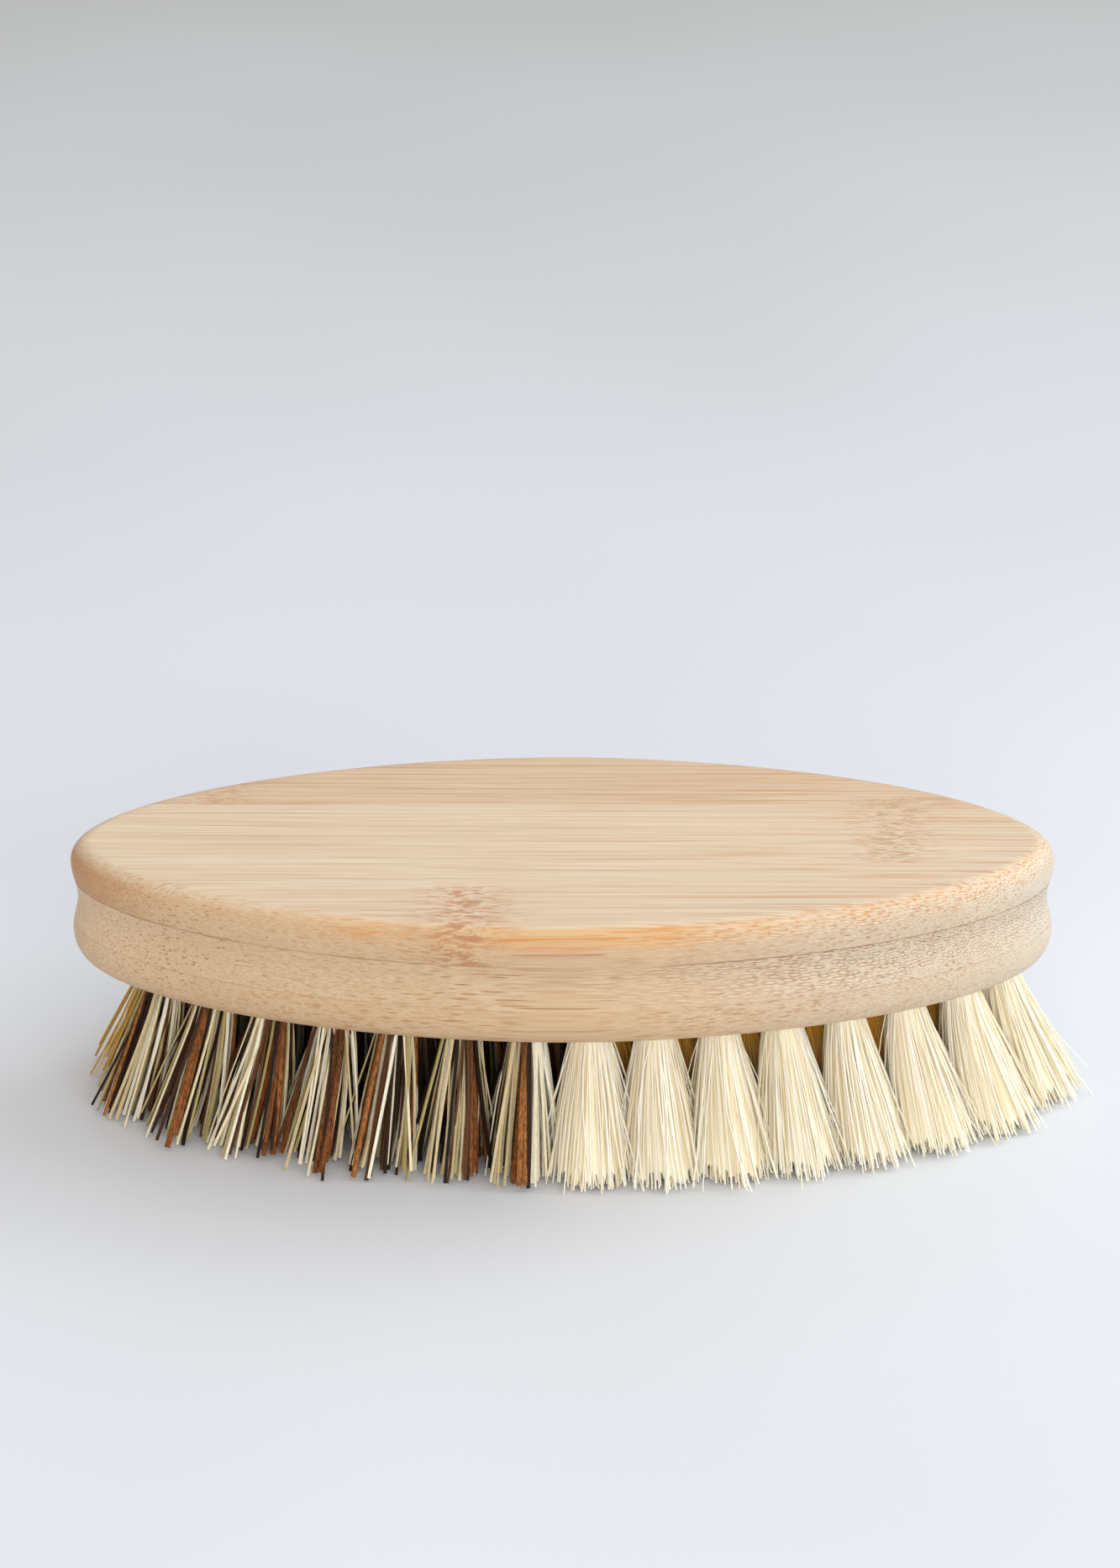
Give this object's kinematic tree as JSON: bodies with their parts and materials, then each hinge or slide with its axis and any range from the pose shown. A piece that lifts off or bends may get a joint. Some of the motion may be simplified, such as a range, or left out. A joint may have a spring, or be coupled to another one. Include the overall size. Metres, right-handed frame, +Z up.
{
  "type": "vegetable brush",
  "caption": "Palm-sized oval bamboo brush with a finger groove round its side; stiff brown and pale fibre tufts on one half, soft cream tufts on the other.",
  "frame": {"origin": "on the floor below the middle of the tufts, on whose fibre tips the brush stands; the middle of the block is 1.75 mm towards -X of it", "axes": "+X along the block towards the soft cream half, +Z up out of the flat top of the block"},
  "size_m": [0.1379, 0.054, 0.0395],
  "materials": {
    "bamboo": "sanded, lightly oiled, satin",
    "stiff_mixed_fibre": "coarse matte plant fibre, brown and pale mixed",
    "soft_cream_fibre": "fine satin plant fibre"
  },
  "bodies": {
    "root": {"top_ply": "bamboo", "middle_ply": "bamboo", "bottom_ply": "bamboo", "outer_tuft_01": "soft_cream_fibre", "outer_tuft_02": "soft_cream_fibre", "outer_tuft_03": "soft_cream_fibre", "outer_tuft_04": "soft_cream_fibre", "outer_tuft_05": "soft_cream_fibre", "outer_tuft_06": "soft_cream_fibre", "outer_tuft_07": "soft_cream_fibre", "outer_tuft_08": "soft_cream_fibre", "outer_tuft_09": "stiff_mixed_fibre", "outer_tuft_10": "stiff_mixed_fibre", "outer_tuft_11": "stiff_mixed_fibre", "outer_tuft_12": "stiff_mixed_fibre", "outer_tuft_13": "stiff_mixed_fibre", "outer_tuft_14": "stiff_mixed_fibre", "outer_tuft_15": "stiff_mixed_fibre", "outer_tuft_16": "stiff_mixed_fibre", "outer_tuft_17": "stiff_mixed_fibre", "outer_tuft_18": "stiff_mixed_fibre", "outer_tuft_19": "stiff_mixed_fibre", "outer_tuft_20": "stiff_mixed_fibre", "outer_tuft_21": "stiff_mixed_fibre", "outer_tuft_22": "stiff_mixed_fibre", "outer_tuft_23": "soft_cream_fibre", "outer_tuft_24": "soft_cream_fibre", "outer_tuft_25": "soft_cream_fibre", "outer_tuft_26": "soft_cream_fibre", "outer_tuft_27": "soft_cream_fibre", "outer_tuft_28": "soft_cream_fibre", "outer_tuft_29": "soft_cream_fibre", "inner_tuft_01": "soft_cream_fibre", "inner_tuft_02": "soft_cream_fibre", "inner_tuft_03": "soft_cream_fibre", "inner_tuft_04": "soft_cream_fibre", "inner_tuft_05": "soft_cream_fibre", "inner_tuft_06": "soft_cream_fibre", "inner_tuft_07": "stiff_mixed_fibre", "inner_tuft_08": "stiff_mixed_fibre", "inner_tuft_09": "stiff_mixed_fibre", "inner_tuft_10": "stiff_mixed_fibre", "inner_tuft_11": "stiff_mixed_fibre", "inner_tuft_12": "stiff_mixed_fibre", "inner_tuft_13": "stiff_mixed_fibre", "inner_tuft_14": "stiff_mixed_fibre", "inner_tuft_15": "stiff_mixed_fibre", "inner_tuft_16": "stiff_mixed_fibre", "inner_tuft_17": "stiff_mixed_fibre", "inner_tuft_18": "soft_cream_fibre", "inner_tuft_19": "soft_cream_fibre", "inner_tuft_20": "soft_cream_fibre", "inner_tuft_21": "soft_cream_fibre", "inner_tuft_22": "soft_cream_fibre", "centre_tuft_01": "stiff_mixed_fibre", "centre_tuft_02": "stiff_mixed_fibre", "centre_tuft_03": "soft_cream_fibre", "centre_tuft_04": "soft_cream_fibre"}
  },
  "joints": []
}
